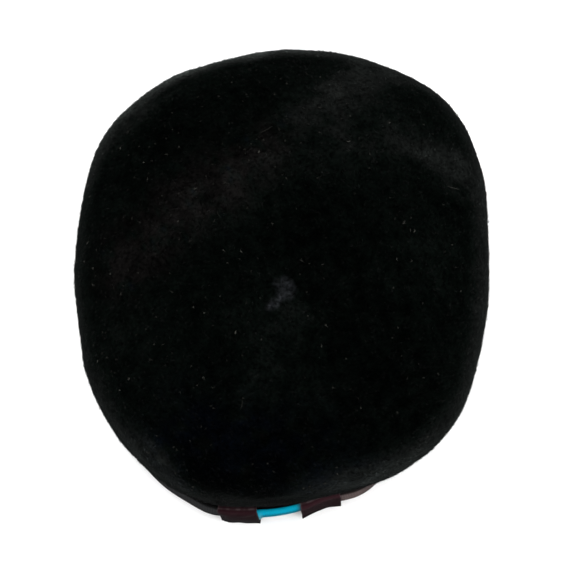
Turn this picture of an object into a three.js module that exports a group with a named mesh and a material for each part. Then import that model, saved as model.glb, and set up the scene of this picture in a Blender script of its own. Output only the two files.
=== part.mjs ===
// A soft rounded hat of black velour felt. The crown swells out over an upright head wall, a ribbon goes
// round the wall, and at the front two brown loops stand round the ribbon with a turquoise strip between them.
// Millimetres, +Z up. The front is -Y, and the hat rests on its rim at Z = 0. Left and right are as seen from
// the front, so +X is the right. Bearings are in degrees round +Z from +X, so the front is at 270.

import * as THREE from "three";

// Sizes of the felt body
const FELT_THICK = 2;
const HEIGHT = 92;
const WALL_TOP = 25;
const HEAD = { x: -4.2, y: -4.4, side: 82, front: 98, squareness: 2.25 };
const CROWN = { x: 1.2, y: -3.7, squareness: 2.5 };

// Where the soft wall is pushed out of its oval, or in: the middle and half width of each place, and how far out
const WALL_SWELLS = [
  { name: "front left", bearing: 235, wide: 10, out: -2.7 },
  { name: "behind the left loop", bearing: 260, wide: 6, out: 2.2 },
  { name: "behind the right loop", bearing: 290, wide: 13, out: -3.2 },
];

// The crown's widest line: how far it reaches from the crown's middle, and how high it runs
const CROWN_SECTIONS = [
  { bearing: 0, reach: 93.4, belly: 46 },
  { bearing: 18, reach: 96, belly: 45.2 },
  { bearing: 36, reach: 106.3, belly: 44.4 },
  { bearing: 54, reach: 114.7, belly: 43.6 },
  { bearing: 72, reach: 113.7, belly: 43 },
  { bearing: 90, reach: 111, belly: 43 },
  { bearing: 108, reach: 109, belly: 43 },
  { bearing: 126, reach: 109.4, belly: 43.6 },
  { bearing: 144, reach: 106.3, belly: 44.4 },
  { bearing: 162, reach: 98.9, belly: 45.2 },
  { bearing: 180, reach: 95.1, belly: 46 },
  { bearing: 198, reach: 94.9, belly: 46.8 },
  { bearing: 216, reach: 99.6, belly: 47.6 },
  { bearing: 234, reach: 103.3, belly: 48.4 },
  { bearing: 252, reach: 106.3, belly: 49 },
  { bearing: 270, reach: 102.2, belly: 49 },
  { bearing: 288, reach: 99.2, belly: 49 },
  { bearing: 306, reach: 102, belly: 48.4 },
  { bearing: 324, reach: 100.9, belly: 47.6 },
  { bearing: 342, reach: 95.1, belly: 46.8 },
];

// Soft hollows pressed into the top: the middle of each, its half length and half width, its turn and depth
const HOLLOWS = [
  { name: "back left", x: -41, y: 50, long: 50, wide: 14, turn: 36, deep: 4.2 },
  { name: "back right", x: 68, y: 56, long: 22, wide: 9, turn: -53, deep: 2.8 },
  { name: "front", x: 12, y: -62, long: 42, wide: 20, turn: 6, deep: 1.8 },
  { name: "tip", x: 1.7, y: -21, long: 9, wide: 7, turn: 50, deep: 1.2 },
];

// The ribbon lies close round the head wall
const RIBBON = { thick: 1, back: 0.3, low: 2, high: 22 };

// Where the ribbon stands slack off the wall, in the same columns as the swells
const RIBBON_SLACK = [
  { name: "right of the trim", bearing: 300, wide: 7.5, out: 2.2 },
  { name: "back", bearing: 96, wide: 20, out: 0.5 },
];

// The trim at the front: distances along the wall are from the middle of the turquoise strip, towards the right
const TRIM_BEARING = 277.8;
const STRIP = { halfLength: 13.5, rise: 1, back: 1.65, edge: 2.4, middle: 2.7, low: 4.8, high: 20.8, flat: 7 };
const LOOP = { thick: 1, back: 0.3, low: 0.6, high: 23.4, squareness: 6 };

// Each loop from its right end to its left one: where its lower and upper edges are, and how far they stand off
const LEFT_LOOP_SECTIONS = [
  { lowAlong: -8.4, highAlong: -10.6, lowOut: 5.1, highOut: 4.3 },
  { lowAlong: -12.6, highAlong: -14.9, lowOut: 5, highOut: 4.5 },
  { lowAlong: -16.8, highAlong: -19.2, lowOut: 4.9, highOut: 4.4 },
  { lowAlong: -20.9, highAlong: -23.4, lowOut: 4.5, highOut: 4 },
  { lowAlong: -24.8, highAlong: -27.4, lowOut: 3.3, highOut: 3.4 },
];
const RIGHT_LOOP_SECTIONS = [
  { lowAlong: 28.1, highAlong: 27.2, lowOut: 5.5, highOut: 4.2 },
  { lowAlong: 23.5, highAlong: 22.5, lowOut: 4.3, highOut: 3.6 },
  { lowAlong: 18.7, highAlong: 17.7, lowOut: 4.1, highOut: 3.8 },
  { lowAlong: 14.2, highAlong: 13.1, lowOut: 4.6, highOut: 4.7 },
  { lowAlong: 10.2, highAlong: 8.8, lowOut: 5.5, highOut: 4.8 },
];

// How finely the curves are cut
const CROWN_STATIONS = 80;
const ROLL_STEPS = 5;
const DOME_STEPS = 13;
const DOME_END = 89;
const RIBBON_STATIONS = 120;
const LOOP_STATIONS = 11;
const LOOP_STEPS = 18;
const STRIP_STATIONS = 13;

const COLOURS = { felt: 0x0b0c0c, ribbon: 0x2a2526, leather: 0x2d191b, turquoise: 0x1da7c4 };

const radians = THREE.MathUtils.degToRad;

// A smooth value between b and c, a share s of the way from b, led by its neighbours a and d.
function smoothBetween(a, b, c, d, s) {
  const slope = c - a;
  const bend = 2 * a - 5 * b + 4 * c - d;
  const twist = 3 * b - a - 3 * c + d;
  return 0.5 * (2 * b + slope * s + bend * s ** 2 + twist * s ** 3);
}

// A column of a table that goes once round the hat, read smoothly at any bearing.
function roundTable(rows, column, bearing) {
  const place = (THREE.MathUtils.euclideanModulo(bearing, 360) / 360) * rows.length;
  const first = Math.floor(place);
  const value = (step) => rows[(first + step + rows.length) % rows.length][column];
  return smoothBetween(value(-1), value(0), value(1), value(2), place - first);
}

// A column of a table that runs from end to end, read smoothly at a share of its length.
function openTable(rows, column, share) {
  const place = share * (rows.length - 1);
  const first = Math.min(Math.floor(place), rows.length - 2);
  const value = (step) => rows[THREE.MathUtils.clamp(first + step, 0, rows.length - 1)][column];
  return smoothBetween(value(-1), value(0), value(1), value(2), place - first);
}

// A signed power, which squares a circle off into a superellipse.
function signedPower(value, power) {
  return Math.sign(value) * Math.abs(value) ** power;
}

// How far a table's soft swells reach out at a bearing: each is a smooth bell.
function swellAt(rows, bearing) {
  let total = 0;
  for (const { bearing: middle, wide, out } of rows) {
    total += out * Math.exp(-(((bearing - middle) / wide) ** 2));
  }
  return total;
}

// A point beside the head wall, out from its outer face by a distance, at a height.
function besideWall(bearing, out, z) {
  const cos = Math.cos(radians(bearing));
  const sin = Math.sin(radians(bearing));
  const across = Math.abs(cos / (HEAD.side + out)) ** HEAD.squareness;
  const ahead = Math.abs(sin / (HEAD.front + out)) ** HEAD.squareness;
  const radius = (across + ahead) ** (-1 / HEAD.squareness) + swellAt(WALL_SWELLS, bearing);
  return new THREE.Vector3(HEAD.x + radius * cos, HEAD.y + radius * sin, z);
}

// The bearing at a distance along the wall from the middle of the trim.
function trimBearing(along) {
  const foot = besideWall(TRIM_BEARING, 0, 0);
  const radius = Math.hypot(foot.x - HEAD.x, foot.y - HEAD.y);
  return TRIM_BEARING + THREE.MathUtils.radToDeg(along / radius);
}

// How deep the hollows are at a place on the top: each is a smooth bell, long one way and narrow the other.
function hollowDepth(x, y) {
  let depth = 0;
  for (const { x: middleX, y: middleY, long, wide, turn, deep } of HOLLOWS) {
    const cos = Math.cos(radians(turn));
    const sin = Math.sin(radians(turn));
    const along = ((x - middleX) * cos + (y - middleY) * sin) / long;
    const across = ((y - middleY) * cos - (x - middleX) * sin) / wide;
    depth += deep * Math.exp(-(along ** 2 + across ** 2));
  }
  return depth;
}

// The crown's widest point at a bearing, drawn in by the depth of a layer of felt.
function bellyPoint(bearing, inset) {
  const reach = roundTable(CROWN_SECTIONS, "reach", bearing) - inset;
  const x = CROWN.x + reach * Math.cos(radians(bearing));
  const y = CROWN.y + reach * Math.sin(radians(bearing));
  return new THREE.Vector3(x, y, roundTable(CROWN_SECTIONS, "belly", bearing));
}

// The roll: a quarter ellipse from the top of the head wall out and up to the widest point.
function rollPoint(bearing, inset, share) {
  const foot = besideWall(bearing, -inset, WALL_TOP + inset);
  const belly = bellyPoint(bearing, inset);
  const angle = radians(90 * share);
  const point = foot.clone().lerp(belly, Math.sin(angle));
  point.z = THREE.MathUtils.lerp(foot.z, belly.z, 1 - Math.cos(angle));
  return point;
}

// The dome: a quarter superellipse from the widest point in and up to the middle, less the hollows.
function domePoint(bearing, inset, share) {
  const belly = bellyPoint(bearing, inset);
  const angle = radians(DOME_END * share);
  const inward = signedPower(Math.cos(angle), 2 / CROWN.squareness);
  const upward = signedPower(Math.sin(angle), 2 / CROWN.squareness);
  const x = THREE.MathUtils.lerp(CROWN.x, belly.x, inward);
  const y = THREE.MathUtils.lerp(CROWN.y, belly.y, inward);
  const z = THREE.MathUtils.lerp(belly.z, HEIGHT - inset, upward) - hollowDepth(x, y) * upward ** 4;
  return new THREE.Vector3(x, y, z);
}

// One face of the felt, from the rim to the middle of the top, as rings of points.
function feltRings(inset) {
  const bearings = Array.from({ length: CROWN_STATIONS }, (_, i) => (360 * i) / CROWN_STATIONS);
  const rings = [bearings.map((bearing) => besideWall(bearing, -inset, 0))];
  for (let step = 0; step < ROLL_STEPS; step++) {
    rings.push(bearings.map((bearing) => rollPoint(bearing, inset, step / ROLL_STEPS)));
  }
  for (let step = 0; step <= DOME_STEPS; step++) {
    rings.push(bearings.map((bearing) => domePoint(bearing, inset, step / DOME_STEPS)));
  }
  return rings;
}

// A skin over rings of equally many points. Rungs across each end ring close it, or the last ring joins the first.
function skin(rings, hasEnds) {
  const count = rings[0].length;
  const corner = (ring, i) => (ring % rings.length) * count + (i % count);
  const faces = [];
  const addQuad = (a, b, c, d) => faces.push(a, b, c, a, c, d);
  for (let ring = 0; ring < rings.length - (hasEnds ? 1 : 0); ring++) {
    for (let i = 0; i < count; i++) {
      addQuad(corner(ring, i), corner(ring, i + 1), corner(ring + 1, i + 1), corner(ring + 1, i));
    }
  }
  for (let i = 0; hasEnds && i < count / 2 - 1; i++) {
    const last = rings.length - 1;
    addQuad(corner(0, i), corner(0, count - 1 - i), corner(0, count - 2 - i), corner(0, i + 1));
    addQuad(corner(last, i), corner(last, i + 1), corner(last, count - 2 - i), corner(last, count - 1 - i));
  }
  const geometry = new THREE.BufferGeometry().setFromPoints(rings.flat());
  geometry.setIndex(faces);
  geometry.computeVertexNormals();
  return geometry;
}

// A named mesh of its own material.
function piece(name, geometry, color, roughness) {
  const mesh = new THREE.Mesh(geometry, new THREE.MeshStandardMaterial({ color, roughness, metalness: 0 }));
  mesh.name = name;
  return mesh;
}

// The felt body: down the inner face from the top, round the rim, and up the outer face.
function crown() {
  const rings = [...feltRings(FELT_THICK).reverse(), ...feltRings(0)];
  return piece("crown", skin(rings, true), COLOURS.felt, 1);
}

// The ribbon: a flat band all the way round the wall, slack in places.
function ribbonBand() {
  const { thick, back, low, high } = RIBBON;
  const corners = [[back, low], [back + thick, low], [back + thick, high], [back, high]];
  const bearings = Array.from({ length: RIBBON_STATIONS }, (_, i) => (360 * i) / RIBBON_STATIONS);
  const rings = corners.map(([out, z]) =>
    bearings.map((bearing) => besideWall(bearing, out + swellAt(RIBBON_SLACK, bearing), z)),
  );
  return piece("ribbon_band", skin(rings, false), COLOURS.ribbon, 0.6);
}

// One side of a loop's section: from behind its lower edge, round its front, to behind its upper edge.
function loopPath(rows, share, inset) {
  const [lowAlong, highAlong, lowOut, highOut] = ["lowAlong", "highAlong", "lowOut", "highOut"].map((column) =>
    openTable(rows, column, share),
  );
  const middleZ = (LOOP.low + LOOP.high) / 2;
  const halfHeight = (LOOP.high - LOOP.low) / 2 - inset;
  return Array.from({ length: LOOP_STEPS + 1 }, (_, i) => {
    const angle = Math.PI * (i / LOOP_STEPS - 0.5);
    const forward = signedPower(Math.cos(angle), 2 / LOOP.squareness);
    const upward = signedPower(Math.sin(angle), 2 / LOOP.squareness);
    const along = THREE.MathUtils.lerp(lowAlong, highAlong, (1 + upward) / 2);
    const front = THREE.MathUtils.lerp(lowOut, highOut, (1 + upward) / 2);
    const out = THREE.MathUtils.lerp(LOOP.back, front - inset, forward);
    return besideWall(trimBearing(along), out, middleZ + halfHeight * upward);
  });
}

// A loop: a channel whose edges turn back over the ribbon's upper and lower edges.
function trimLoop(name, rows) {
  const shares = Array.from({ length: LOOP_STATIONS }, (_, i) => i / (LOOP_STATIONS - 1));
  const rings = shares.map((share) => [...loopPath(rows, share, 0), ...loopPath(rows, share, LOOP.thick).reverse()]);
  return piece(name, skin(rings, true), COLOURS.leather, 0.7);
}

// The strip: a flat bar with a low swell along its front, bent to the wall and rising a little to the right.
// Its ends lie inside the loops.
function turquoiseStrip() {
  const { halfLength, rise, back, edge, middle, low, high, flat } = STRIP;
  const middleZ = (low + high) / 2;
  const swell = [[middle, middleZ - flat / 2], [middle, middleZ + flat / 2]];
  const outline = [[back, low], [edge, low], ...swell, [edge, high], [back, high]];
  const rings = Array.from({ length: STRIP_STATIONS }, (_, i) => {
    const share = 1 - (2 * i) / (STRIP_STATIONS - 1);
    return outline.map(([out, z]) => besideWall(trimBearing(halfLength * share), out, z + rise * share));
  });
  return piece("turquoise_strip", skin(rings, true), COLOURS.turquoise, 0.35);
}

const hat = new THREE.Group();
hat.add(crown());
hat.add(ribbonBand());
hat.add(trimLoop("trim_loop_left", LEFT_LOOP_SECTIONS));
hat.add(trimLoop("trim_loop_right", RIGHT_LOOP_SECTIONS));
hat.add(turquoiseStrip());

export default hat;
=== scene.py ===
import math
from functools import partial

import bpy
import numpy as np
from bpy.props import FloatProperty, FloatVectorProperty, IntProperty, PointerProperty
from mathutils import Matrix


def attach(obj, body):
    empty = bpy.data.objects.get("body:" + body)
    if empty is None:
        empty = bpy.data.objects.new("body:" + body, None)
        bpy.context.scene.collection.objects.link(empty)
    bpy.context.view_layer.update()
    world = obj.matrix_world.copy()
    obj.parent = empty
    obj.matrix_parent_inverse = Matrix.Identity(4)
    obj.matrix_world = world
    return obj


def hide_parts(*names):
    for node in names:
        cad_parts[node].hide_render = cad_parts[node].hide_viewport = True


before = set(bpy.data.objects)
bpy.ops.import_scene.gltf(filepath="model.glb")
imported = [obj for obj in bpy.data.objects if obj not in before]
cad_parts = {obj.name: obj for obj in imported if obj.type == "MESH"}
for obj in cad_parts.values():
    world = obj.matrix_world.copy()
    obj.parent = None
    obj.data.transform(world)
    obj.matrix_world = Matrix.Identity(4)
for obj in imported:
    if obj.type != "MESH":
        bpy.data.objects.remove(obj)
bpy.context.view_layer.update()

bl_info = {
    "name": "Soft Velour Hat",
    "version": (1, 0, 0),
    "blender": (4, 5, 0),
    "location": "View3D > Sidebar > Hat",
    "description": "Builds a soft rounded velour felt hat with a ribbon and a front trim",
    "category": "Object",
}

LengthProperty = partial(FloatProperty, unit="LENGTH")
AngleProperty = partial(FloatProperty, subtype="ANGLE")
ColourProperty = partial(FloatVectorProperty, subtype="COLOR")

MM = 0.001
THIRD_OF_TURN = 2.0944

# The felt's grid: rows up the wall and round the roll, which rows are softened and how often, and the inner
# face takes every third row
WALL_ROWS, ROLL_ROWS, INNER_EVERY = 9, 34, 3
SOFT_ROWS, SOFT_ROUNDS = (5, 18), 10
# The felt's soft unevenness: how long the waves are (mm), how many, their seed, and how high (mm)
FELT_WAVES = ((75, 14, 11, 0.45), (21, 30, 12, 0.13), (6.5, 60, 13, 0.045))

# The nap: the lowest heights of its fibres, its matted locks and its lint; how deep in the felt the fibres
# start; and the half thickness of a fibre and of a lock's fibre
NAP_FROM, LOCKS_FROM, LINT_FROM = 24 * MM, 30 * MM, 45 * MM
NAP_ROOT = 0.08 * MM
NAP_HALF_WIDTH, LOCK_HALF_WIDTH = 0.05 * MM, 0.06 * MM
# A matted lock: its fibres' mean length, how far apart they start, and how far above the felt
LOCK_LENGTH, LOCK_SPREAD, LOCK_LIFT = 1.2 * MM, 0.28 * MM, 0.1 * MM
# A fleck of lint: how many threads it has, how pale they are, how far apart they lie, their mean length and
# half thickness, and how far above the felt they lie
LINT_THREADS, LINT_TONE = 4, 0.026
LINT_SPREAD, LINT_LENGTH, LINT_THICK, LINT_LIFT = 0.14 * MM, 0.8 * MM, 0.07 * MM, 0.3 * MM
# A loose thread: how far above the felt it lies, and the places along it
THREAD_LIFT, THREAD_RINGS = 0.6 * MM, 7
# Loose threads lie on the top, above this height
TOP_FROM = 55 * MM
# The ribbon: the points in each rib, the height where the crown's roll shades it wholly, and how far below
# that the shade ends
RIB_POINTS = 7
SHADED_FROM, SHADE_FADES = 16.6 * MM, 2.8 * MM


def by_columns(names, *rows):
    """A table written row by row, kept as one list for each named column."""
    return {name: list(column) for name, column in zip(names, zip(*rows))}


# The head wall's oval, as the middle, the half width and half length, and how square it is; and the crown's
# middle, and how square its section is
HEAD = {"x": -4.2 * MM, "y": -4.4 * MM, "side": 82 * MM, "front": 98 * MM, "squareness": 2.25}
CROWN = {"x": 1.2 * MM, "y": -3.7 * MM, "squareness": 2.5}

# Where the soft wall is pushed out of its oval, or in: bearing and half width in degrees, and how far out in
# mm
WALL_SWELLS = by_columns(
    ("bearing", "wide", "out"),
    (235, 10, -2.7),  # front left
    (260, 6, 2.2),  # behind the left loop
    (290, 13, -3.2),  # behind the right loop
)

# The crown's widest line, every 18 degrees round from +X: its reach from the crown's middle, its height, and
# the painted sheen near it, as how much brighter the nap is painted there than on the top (less than 0,
# painted shade)
CROWN_SECTIONS = by_columns(
    ("reach", "belly", "nap"),
    (93.4, 46, 4.4),  # right
    (96.0, 45.2, 4.2),
    (106.3, 44.4, 3.7),
    (114.7, 43.6, 4.5),
    (113.7, 43, 9.4),
    (111.0, 43, 17.0),  # back
    (109.0, 43, 26.0),
    (109.4, 43.6, 24.6),
    (106.3, 44.4, 14.1),
    (98.9, 45.2, 3.2),
    (95.1, 46, 2.6),  # left
    (94.9, 46.8, 2.6),
    (99.6, 47.6, 2.8),
    (103.3, 48.4, 1.3),
    (106.3, 49, -1.0),
    (102.2, 49, -0.4),  # front
    (99.2, 49, 4.2),
    (102.0, 48.4, 3.4),
    (100.9, 47.6, 4.6),
    (95.1, 46.8, 5.3),
)

# Soft hollows in the top: middle, half length, half width (mm), turn (degrees) and depth (mm, less than 0
# stands up)
HOLLOWS = by_columns(
    ("x", "y", "long", "wide", "turn", "deep"),
    (-41, 50, 50, 14, 36, 4.2),  # the long fold on the left
    (68, 56, 22, 9, -53, 2.8),  # the right shoulder's fold
    (12, -62, 42, 20, 6, 1.8),  # front
    (1.7, -21, 9, 7, 50, 1.2),  # under the rubbed patch
)

# Finer folds that wear has left in the felt, in the same columns
FOLDS = by_columns(
    ("x", "y", "long", "wide", "turn", "deep"),
    (-22, 28, 64, 11, 41, -1.5),
    (62, 36, 30, 9, -38, -1.3),
    (-68, -30, 26, 10, 70, 0.9),
    (30, 86, 34, 8, -12, 0.7),
    (-30, -72, 30, 11, -32, 0.8),
    (74, 10, 26, 10, 84, 0.8),
    (40, -30, 34, 16, 20, 0.7),
)

# How the nap lies, and light painted on it: brighter (or, less than 0, darker) bells, as middle and half
# sizes (mm), turn (degrees) and how many times the plain felt's brightness is added. The bright bells on the
# left band, the back's right patch, the fold's lip and the edge are painted highlights and painted sheen
LAY_AND_PAINTED_LIGHT = by_columns(
    ("x", "y", "long", "wide", "turn", "strength"),
    # the faded band on the left, with a painted highlight along its ridge
    (-40, 17, 27, 13, 45, 2.0),
    (-64, -10, 15, 12, 60, 1.1),
    (-16, 38, 20, 13, 42, 1.4),
    # a painted highlight on the patch at the back's right
    (11, 73, 18, 9, 47, 3.4),
    (27, 85, 13, 9, 36, 2.6),
    (36, 95, 14, 7, -8, 5),
    (32, 60, 24, 16, 10, 1.6),
    (6, 42, 36, 16, 40, 0.6),
    # a painted highlight on the lip of the right shoulder's fold
    (60, 52.5, 14, 6, -10, 3.6),
    (76, 47, 14, 9, -30, 3.7),
    # the plain top, from right to left and front to back
    (66, 12, 30, 13, 90, 0.6),
    (2, -37, 14, 10, 0, 0.7),
    (-5, -62, 18, 8, 70, 0.9),
    (-66, -50, 30, 18, 80, 0.8),
    (-6, -88, 34, 18, 10, -0.3),
    (52, -50, 30, 26, 60, -0.3),
    (-58, 48, 30, 11, 44, -0.35),
    (-6, -105, 30, 9, -4, -0.5),
    (62, 73, 12, 8, -40, 0.2),
    (40, -5, 40, 30, 90, -0.15),
    # painted sheen along the edge: front right, front left, back left, right side and back
    (43, -95, 20, 5, 20, 3.8),
    (64, -84, 16, 4, 40, 3.0),
    (-50, -94, 16, 5, -38, 6),
    (-34, -105, 12, 4, -24, 1.5),
    (-74, 56, 16, 5, 52, 2.0),
    (-58, 72, 18, 5, 35, 1.2),
    (88, 5, 34, 5, 92, 1.5),
    (5, 103.5, 16, 3.5, -2, 7),
    (-24, 98.8, 17, 3.4, 14, 20),
    (-52, 88, 17, 3.4, 30, 20),
    (-73, 70.5, 14, 3.4, 45, 7),
    # beside the rubbed patch
    (7, -27.5, 8, 5, -6, 1.3),
)

# Where the black has faded to brown (or, less than 0, is bluer), in the same columns
FADED = by_columns(
    ("x", "y", "long", "wide", "turn", "strength"),
    (-44, 18, 34, 16, 44, 1.0),
    (-66, -10, 16, 14, 60, 0.9),
    (-18, 42, 20, 12, 44, 0.6),
    (22, 80, 20, 9, 40, 0.15),
    (3, -92, 30, 16, 8, -1.0),
    (-26, -86, 24, 15, -24, -0.8),
)

# Where the nap is rubbed off and the pale felt under it shows, in the same columns
RUBBED = by_columns(
    ("x", "y", "long", "wide", "turn", "strength"),
    (0.4, -16.8, 3.4, 2.6, 30, 0.86),
    (4.6, -17.6, 3.6, 2.4, -38, 0.64),
    (2.0, -21.4, 3.4, 2.8, 75, 0.56),
    (-0.8, -25.2, 3.0, 2.6, 55, 0.54),
    (-3.2, -27.8, 2.6, 2.1, 30, 0.56),
    (5.8, -21.8, 2.4, 1.8, 80, 0.4),
)

# Loose threads on the top: middle, length and half thickness (mm), turn (degrees), bend, and how pale
THREADS = by_columns(
    ("x", "y", "length", "thick", "turn", "bend", "pale"),
    (-12.5, 54, 6.4, 0.09, 36, 0.3, 0.045),
    (73.5, 38, 6.6, 0.10, 8, 0.12, 0.075),
    (24.6, 51.8, 1.8, 0.22, 20, 0.8, 0.075),
    (-11.5, -71.7, 4.2, 0.07, 84, 0.2, 0.05),
    (-29, 12, 3.0, 0.08, -60, 0.5, 0.03),
    (38, 74, 2.6, 0.07, 15, -0.4, 0.03),
)

# Where the ribbon stands slack off the wall in mm, and where it is paler: bearing and half width in degrees,
# and how much. Right of the trim the paler colour is a painted floor reflection; at the back left it is faded
RIBBON_SLACK = by_columns(
    ("bearing", "wide", "out"),
    (300, 7.5, 2.2),  # right of the trim
    (96, 20, 0.5),  # back
)
RIBBON_SHEEN_AND_FADE = by_columns(
    ("bearing", "wide", "share"),
    # the two bells right of the trim are a painted floor reflection
    (296, 6, 0.8),  # right of the trim
    (303, 8, 0.5),  # further right
    (120, 30, 0.25),  # back left
)

# Each trim loop from its right end to its left one: where its lower and upper edges are along the wall from
# the middle of the trim, and how far they stand off the wall, in mm
LEFT_LOOP = by_columns(
    ("low_along", "high_along", "low_out", "high_out"),
    (-8.4, -10.6, 5.1, 4.3),
    (-12.6, -14.9, 5.0, 4.5),
    (-16.8, -19.2, 4.9, 4.4),
    (-20.9, -23.4, 4.5, 4.0),
    (-24.8, -27.4, 3.3, 3.4),
)
RIGHT_LOOP = by_columns(
    ("low_along", "high_along", "low_out", "high_out"),
    (28.1, 27.2, 5.5, 4.2),
    (23.5, 22.5, 4.3, 3.6),
    (18.7, 17.7, 4.1, 3.8),
    (14.2, 13.1, 4.6, 4.7),
    (10.2, 8.8, 5.5, 4.8),
)
TRIM_BEARING = 277.8

# Round the strip's section, from its back by its lower edge: how far off the wall in mm, and how high as a
# share of the strip's height
STRIP_SECTION = by_columns(
    ("out", "up"),
    (1.6, 0.3), (1.6, 0.02), (1.7, 0), (2.0, 0), (2.2, 0.012), (2.35, 0.04), (2.52, 0.14), (2.63, 0.32),
    (2.67, 0.5), (2.63, 0.68), (2.52, 0.86), (2.35, 0.96), (2.2, 0.988), (2.0, 1), (1.7, 1), (1.6, 0.98),
    (1.6, 0.7),
)
# The strip's front is further off the wall than this; and how far it is from the strip's middle to the left
# and to the right loop's edge in mm, at the strip's lower edge
STRIP_FRONT = 2.15 * MM
LEFT_LOOP_EDGE, RIGHT_LOOP_EDGE = 9.1, 9.8


def unit(vectors):
    """Vectors made one long."""
    return vectors / np.maximum(np.linalg.norm(vectors, axis=-1, keepdims=True), 1e-12)


def along_surface(vectors, normal):
    """Vectors laid flat on a surface, less what points along its normal, and made one long."""
    return unit(vectors - normal * np.sum(vectors * normal, axis=1, keepdims=True))


def ramp(values):
    """Values held between 0 and 1."""
    return np.clip(values, 0, 1)


def smooth_between(a, b, c, d, s):
    """The Catmull-Rom curve: a cubic from b to c at share s, whose slopes follow a and d."""
    return 0.5 * (2 * b + (c - a) * s + (2 * a - 5 * b + 4 * c - d) * s**2 + (3 * b - a - 3 * c + d) * s**3)


def round_table(values, bearing):
    """A table that goes once round the hat, read at any bearing in degrees by the Catmull-Rom curve."""
    values = np.asarray(values, float)
    place = np.mod(bearing, 360) / 360 * len(values)
    first = np.floor(place).astype(int)
    picks = [values[(first + step) % len(values)] for step in (-1, 0, 1, 2)]
    return smooth_between(*picks, place - first)


def open_table(values, share):
    """A table that runs from end to end, read at a share of its length by the Catmull-Rom curve."""
    values = np.asarray(values, float)
    place = np.asarray(share) * (len(values) - 1)
    first = np.minimum(np.floor(place).astype(int), len(values) - 2)
    picks = [values[np.clip(first + step, 0, len(values) - 1)] for step in (-1, 0, 1, 2)]
    return smooth_between(*picks, place - first)


def bells(table, x, y, column="strength"):
    """The sum of a table's bells: each is its strength times e to minus the square of the distance from its
    middle, counted in half lengths along its turn and half widths across it."""
    total = np.zeros(np.broadcast(x, y).shape)
    columns = [table[name] for name in ("x", "y", "long", "wide", "turn", column)]
    for mx, my, long, wide, turn, strength in zip(*columns):
        c, s = math.cos(math.radians(turn)), math.sin(math.radians(turn))
        along = ((x / MM - mx) * c + (y / MM - my) * s) / long
        across = ((y / MM - my) * c - (x / MM - mx) * s) / wide
        total += strength * np.exp(-(along**2) - across**2)
    return total


def waves(points, size, count, seed):
    """Smooth unevenness from -1 to 1 or so: the sum of count sine waves of random directions and starts,
    with lengths between 0.6 and 1.6 times size, times the square root of 2 over the count."""
    rng = np.random.default_rng(seed)
    heading = unit(rng.normal(size=(count, 3)))
    length = size * rng.uniform(0.6, 1.6, count)
    start = rng.uniform(0, 2 * np.pi, count)
    total = np.zeros(points.shape[:-1])
    for h, l, s in zip(heading, length, start):
        total += np.sin(points @ h * (2 * np.pi / l) + s)
    return total * math.sqrt(2 / count)


def around_bells(table, bearing, column):
    """The sum of a table's bells round the hat: each is its amount times e to minus the square of the
    degrees from its bearing, counted in its half widths."""
    total = 0
    for middle, wide, amount in zip(table["bearing"], table["wide"], table[column]):
        away = np.mod(bearing - middle + 180, 360) - 180
        total = total + amount * np.exp(-((away / wide) ** 2))
    return total


def beside_wall(bearing, out, z):
    """A point out from the head wall's outer face: at a bearing, the radius of the superellipse grown by
    out, and what the wall's swells add there."""
    bearing, out, z = np.broadcast_arrays(np.asarray(bearing, float), out, z)
    c, s = np.cos(np.radians(bearing)), np.sin(np.radians(bearing))
    n = HEAD["squareness"]
    radius = (np.abs(c / (HEAD["side"] + out)) ** n + np.abs(s / (HEAD["front"] + out)) ** n) ** (-1 / n)
    radius = radius + around_bells(WALL_SWELLS, bearing, "out") * MM
    return np.stack([HEAD["x"] + radius * c, HEAD["y"] + radius * s, z], axis=-1)


def trim_bearing(along):
    """The bearing at a distance along the wall from the trim's middle, as an arc of the radius there."""
    foot = beside_wall(TRIM_BEARING, 0.0, 0.0)
    radius = math.hypot(foot[0] - HEAD["x"], foot[1] - HEAD["y"])
    return TRIM_BEARING + np.degrees(along / radius)


def grid_normals(points):
    """The unit normals of a grid of points whose rows go round: the change along a row crossed with the
    change from row to row."""
    wrapped = np.concatenate([points[:, -1:], points, points[:, :1]], axis=1)
    return unit(np.cross(np.gradient(wrapped, axis=1)[:, 1:-1], np.gradient(points, axis=0)))


def even_steps(profile, count):
    """Shares at which a profile, a function of a share, has count points an even distance apart."""
    dense = np.linspace(0, 1, 2000)
    length = np.concatenate([[0], np.cumsum(np.linalg.norm(np.diff(profile(dense), axis=0), axis=1))])
    return np.interp(np.linspace(0, length[-1], count), length, dense)


def grid_quads(rows, columns, wrap_rows=False, wrap_columns=True):
    """Quads between neighbouring rows and columns of a grid whose points are counted row by row."""
    r = np.arange(rows if wrap_rows else rows - 1)[:, None]
    c = np.arange(columns if wrap_columns else columns - 1)[None, :]
    start, next_start = r * columns, (r + 1) % rows * columns
    c2 = (c + 1) % columns
    return np.stack([start + c, start + c2, next_start + c2, next_start + c], axis=-1).reshape(-1, 4)


def pole_fans(rows, columns):
    """Triangles from a point added after the grid to its first row, and from a second one to its last."""
    c = np.arange(columns)
    c2 = (c + 1) % columns
    last = (rows - 1) * columns
    first_fan = np.stack([np.full(columns, rows * columns), c2, c], axis=-1)
    last_fan = np.stack([np.full(columns, rows * columns + 1), last + c, last + c2], axis=-1)
    return np.concatenate([first_fan, last_fan])


def closed_faces(rows, columns):
    """The faces of a grid that goes round, closed by a fan at each end."""
    return [grid_quads(rows, columns), pole_fans(rows, columns)]


def curve_length(points):
    """How long a line of points is."""
    return float(np.linalg.norm(np.diff(points, axis=0), axis=1).sum())


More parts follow.
